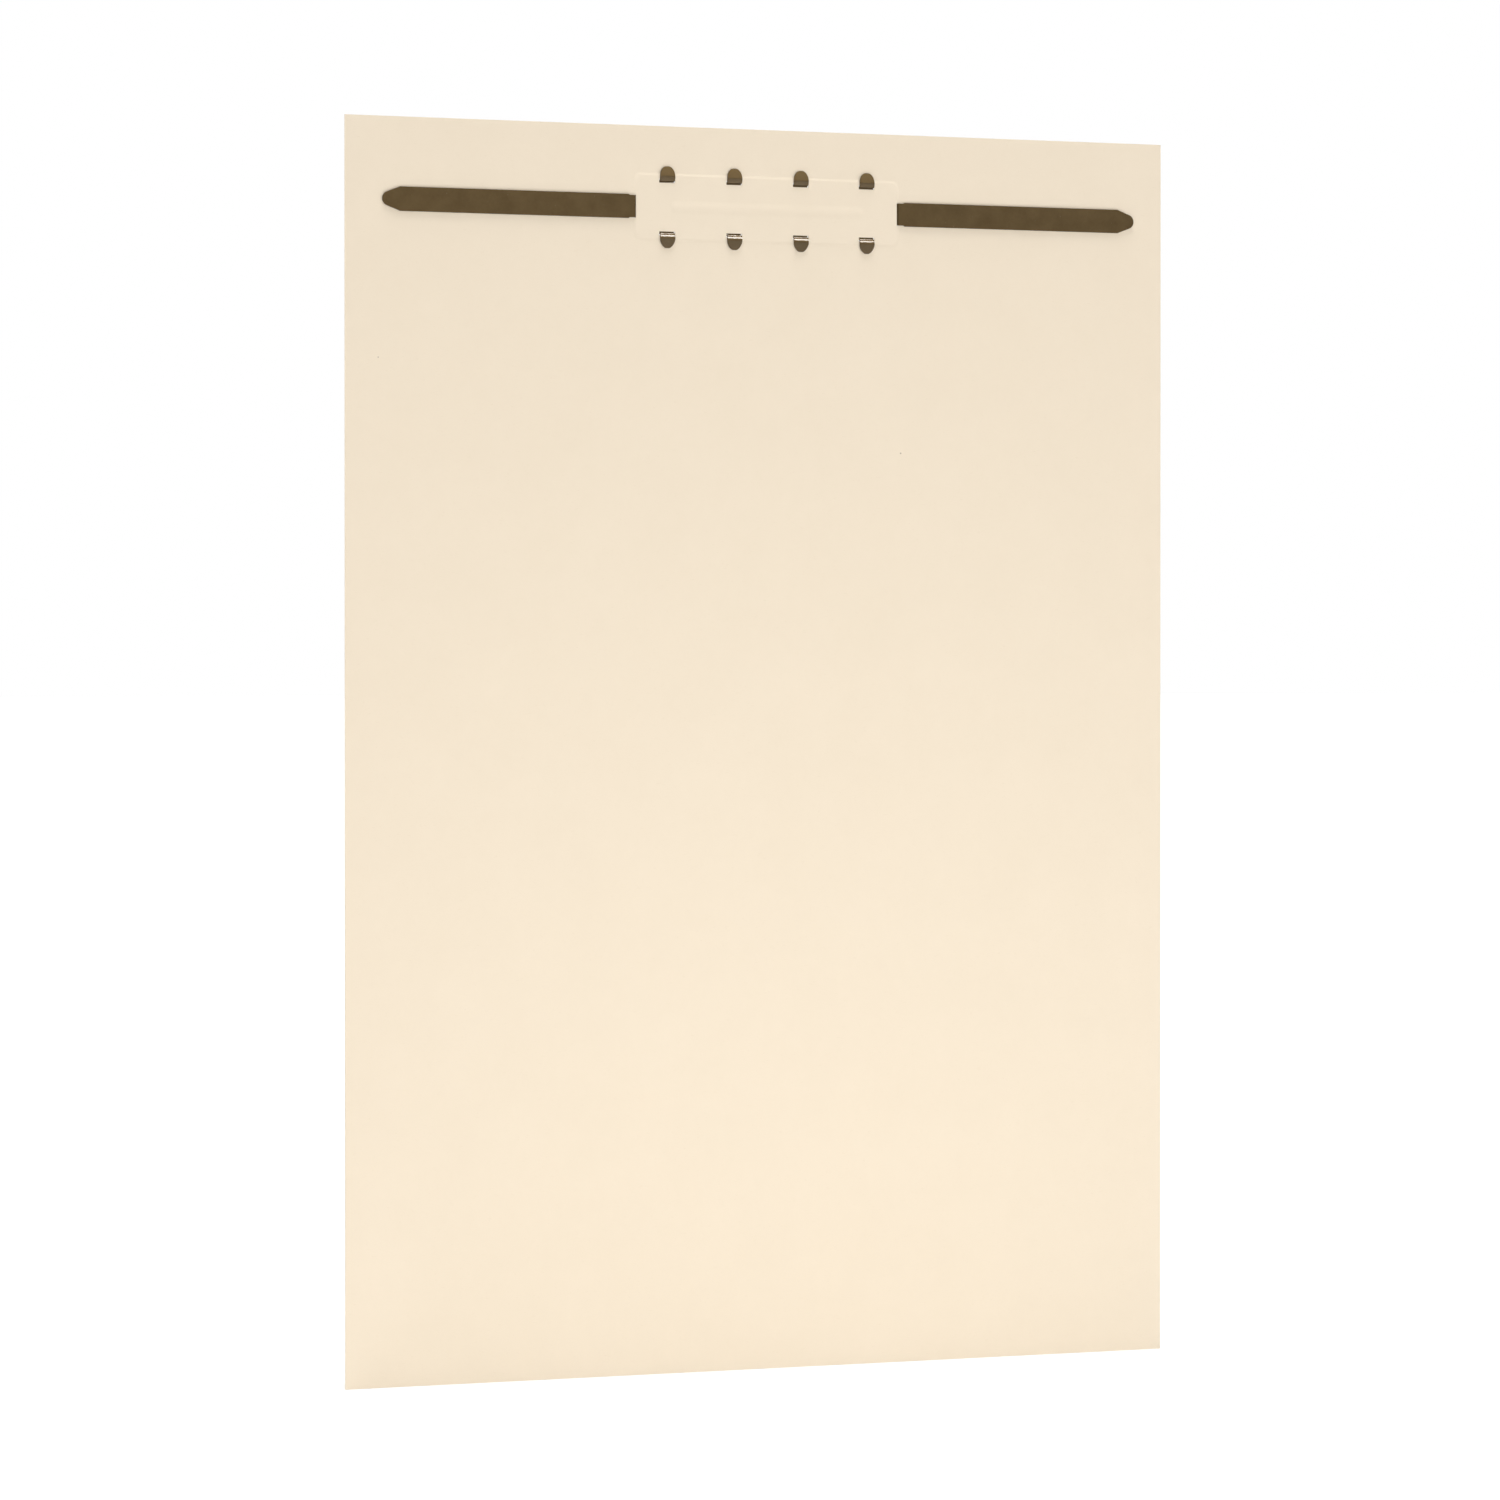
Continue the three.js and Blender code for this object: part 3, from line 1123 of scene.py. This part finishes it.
@dataclass
class Prong:
    """One bendable prong: a flat strip from its bend line to a tapered, round-nosed tip."""

    place: Place
    length: float = 64.5
    half_width: float = 2.7
    neck_length: float = 1.35
    shoulder: float = 0.3
    taper_start: float = 60.05
    nose_radius: float = 1.6
    nose_end: float = 0.032
    root_gap: float = 0.01
    stub: float = 0.1
    bend_zone: float = 1.3
    bend_step: float = 0.1
    nose_steps: int = 10

    def half_widths(self) -> list[Point]:
        """Works out the strip's outline, from the neck's shoulder to the tip.

        Returns:
            Place along the strip and half width of each station.
        """
        nose = self.length - self.nose_radius
        run = self.taper_start - nose
        span = math.hypot(run, self.half_width)
        touch = math.atan2(self.half_width, run) - math.acos(self.nose_radius / span)
        rounded = arc((nose, 0), self.nose_radius, math.degrees(touch), 0, self.nose_steps)
        first = (nose + self.nose_radius * math.cos(touch), self.nose_radius * math.sin(touch))
        return [(self.neck_length + self.shoulder, self.half_width), (self.taper_start, self.half_width),
                first, *rounded[:-1], (self.length, self.nose_end)]

    def build(self) -> Workpiece:
        """Models the right prong, from its bend line outwards.

        Returns:
            The prong, in millimetres about the fastener's middle.
        """
        hinge = self.place.hinge
        start = hinge - self.root_gap
        half = self.place.neck_half
        reach = start + self.stub
        strip = Workpiece("prong", (start, -half), (reach, half), self.place.prong_middle)
        strip.pick(Element.EDGE, lambda middle: middle.x > start + self.stub - NEAR)
        drawn = graded(self.stub - self.root_gap, [(self.neck_length, self.bend_step)])
        stations = [(x, half) for x in drawn[1:]]
        stations += self.half_widths()
        width = half
        for x, next_width in stations:
            self._widen(strip, hinge + x - reach, next_width / width)
            reach = hinge + x
            width = next_width
        strip.leave()
        strip.thicken(self.place.metal, self.place.metal_edge)
        return strip

    @staticmethod
    def _widen(strip: Workpiece, step: float, ratio: float) -> None:
        """Draws the strip's end out by one step and sets its new width."""
        strip.draw_out(Vector((step, 0, 0)))
        bpy.ops.transform.resize(value=(1, 1, ratio), center_override=(0, 0, 0))

    def dress(self, side: Side, centre: Vector, material: bpy.types.Material) -> bpy.types.Object:
        """Builds the prong of one side and sets it down in the frame.

        Args:
            side: Which prong.
            centre: The fastener's middle, in metres.
            material: Its finish.

        Returns:
            The finished prong.
        """
        strip = self.build()
        if side is Side.LEFT:
            strip.body.data.transform(Matrix.Rotation(math.pi, 4, "Y"))
        strip.body.name = f"{side.name.lower()}_prong_strip"
        piece = strip.settle(centre, material)
        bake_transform(piece)
        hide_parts(f"{side.name.lower()}_prong")
        return piece


def bearing_vector(bearing: float, elevation: float) -> Vector:
    """Points away from the sheet.

    Args:
        bearing: Degrees to the right of straight in front.
        elevation: Degrees above level.

    Returns:
        The direction, one unit long.
    """
    across = math.radians(bearing)
    up = math.radians(elevation)
    return Vector((math.sin(across) * math.cos(up), -math.cos(across) * math.cos(up), math.sin(up)))


def hang_lamp(name: str, kind: str, place: Vector, away: Vector) -> bpy.types.Object:
    """Hangs a lamp that looks back along a direction.

    Args:
        name: Name of the lamp.
        kind: Type of the lamp.
        place: Where it hangs.
        away: The direction from what it lights to the lamp.

    Returns:
        The lamp's object.
    """
    holder = bpy.data.objects.new(name, bpy.data.lights.new(name, kind))
    bpy.context.scene.collection.objects.link(holder)
    holder.location = place
    holder.rotation_euler = (-away).to_track_quat("-Z", "Y").to_euler()
    return holder


@dataclass(frozen=True)
class Softbox:
    """A soft rectangular lamp that looks at one point, placed by its bearing from there."""

    name: str
    bearing: float
    elevation: float
    distance: float
    width: float
    height: float
    radiance: float
    target: tuple[float, float, float]
    gloss_only: bool = False

    def hang(self) -> None:
        """Hangs the lamp, out of the camera's sight; one for gloss only adds no matt light."""
        away = bearing_vector(self.bearing, self.elevation)
        holder = hang_lamp(self.name, "AREA", Vector(self.target) + away * self.distance, away)
        holder.data.shape = "RECTANGLE"
        holder.data.size = self.width
        holder.data.size_y = self.height
        holder.data.energy = self.radiance * math.pi * self.width * self.height
        holder.visible_camera = False
        holder.visible_diffuse = not self.gloss_only


@dataclass(frozen=True)
class Skylight:
    """A far, wide lamp that lights the sheet and the floor evenly, placed by its bearing."""

    name: str
    bearing: float
    elevation: float
    softness: float
    strength: float

    def hang(self) -> None:
        """Hangs the lamp."""
        away = bearing_vector(self.bearing, self.elevation)
        holder = hang_lamp(self.name, "SUN", away, away)
        holder.data.angle = math.radians(self.softness)
        holder.data.energy = self.strength


@dataclass
class Studio:
    """The white studio: floor, surroundings, soft lamps and the camera."""

    image_size: float = 1500.0
    focal_pixels: float = 8617.2
    sensor: float = 36.0
    eye: tuple[float, float, float] = (-1.02118, -1.65395, 0.16028)
    heading: float = 31.5965
    tilt: float = -0.6083
    floor_reach: float = 60.0
    white: Colour = (0.69, 0.695, 0.70)
    floor_roughness: float = 0.9
    floor_gloss: float = 0.0
    backdrop: float = 1.0
    room_light: float = 0.32
    ceiling: Skylight = Skylight(
        "ceiling_light", bearing=-30.0, elevation=84.3, softness=26.0, strength=4.0
    )
    lamps: tuple[Softbox, ...] = (
        Softbox(
            "fold_strip", bearing=86.0, elevation=60.5, distance=2.0, width=0.5, height=0.3,
            radiance=50.0, target=(0.0, 0.0, 0.26), gloss_only=True,
        ),
        Softbox(
            "crest_strip", bearing=33.5, elevation=21.8, distance=2.0, width=0.2, height=0.3,
            radiance=36.0, target=(0.0, 0.0, 0.26), gloss_only=True,
        ),
        Softbox(
            "front_softbox", bearing=12.0, elevation=24.0, distance=2.0, width=0.5, height=0.5,
            radiance=5.8, target=(0.0, 0.0, 0.20),
        ),
        Softbox(
            "fill_softbox", bearing=6.0, elevation=4.8, distance=0.25, width=0.3, height=0.04,
            radiance=3.5, target=(0.0, 0.0, 0.0),
        ),
        Softbox(
            "back_softbox", bearing=200.0, elevation=50.0, distance=1.0, width=0.5, height=0.4,
            radiance=5.5, target=(-0.1, 0.02, 0.0),
        ),
    )

    def floor(self) -> None:
        """Lays the plain pale floor."""
        bpy.ops.object.select_all(action="DESELECT")
        bpy.ops.mesh.primitive_plane_add(size=self.floor_reach)
        floor = bpy.context.active_object
        floor.name = "studio_floor"
        material, _, shader = blank_material("studio_white")
        shader.inputs["Base Color"].default_value = (*self.white, 1)
        shader.inputs["Roughness"].default_value = self.floor_roughness
        shader.inputs["Specular IOR Level"].default_value = self.floor_gloss
        floor.data.materials.append(material)

    def surroundings(self) -> None:
        """Sets the white backdrop, and the softer even light that it gives."""
        world = bpy.data.worlds.new("studio_room")
        world.use_nodes = True
        nodes = NodeTree(world.node_tree)
        background = world.node_tree.nodes["Background"]
        background.inputs["Color"].default_value = (1, 1, 1, 1)
        seen = nodes.add("LightPath").outputs["Is Camera Ray"]
        nodes.link(nodes.span(seen, self.room_light, self.backdrop), background.inputs["Strength"])
        bpy.context.scene.world = world

    def camera(self) -> None:
        """Puts the camera where the photograph was taken from."""
        lens = bpy.data.cameras.new("view")
        lens.sensor_width = self.sensor
        lens.lens = self.focal_pixels / self.image_size * self.sensor
        lens.clip_end = 2 * self.floor_reach
        holder = bpy.data.objects.new("view", lens)
        bpy.context.scene.collection.objects.link(holder)
        holder.location = self.eye
        holder.rotation_euler = (math.radians(90 + self.tilt), 0, math.radians(-self.heading))
        bpy.context.scene.camera = holder

    def build(self) -> None:
        """Sets up the whole studio."""
        bpy.context.scene.view_settings.view_transform = "Standard"
        self.floor()
        self.surroundings()
        self.ceiling.hang()
        for lamp in self.lamps:
            lamp.hang()
        self.camera()


def main() -> None:
    """Builds the studio and the divider, piece by piece."""
    logging.basicConfig(level=logging.INFO, format="%(name)s: %(message)s")
    Studio().build()
    effects = Effects()
    card = CardFinish().material(effects)
    lacquer = LacquerFinish().material(effects)
    place = Place()
    base = FastenerBase(place, LugShape(place))
    sheet = CardSheet(place, base)
    centre = place.centre(sheet.height)
    log.info("built %s", sheet.dress(centre, card).name)
    log.info("built %s", base.dress(centre, lacquer).name)
    for side in Side:
        log.info("built %s", Prong(place).dress(side, centre, lacquer).name)


if __name__ == "__main__":
    main()
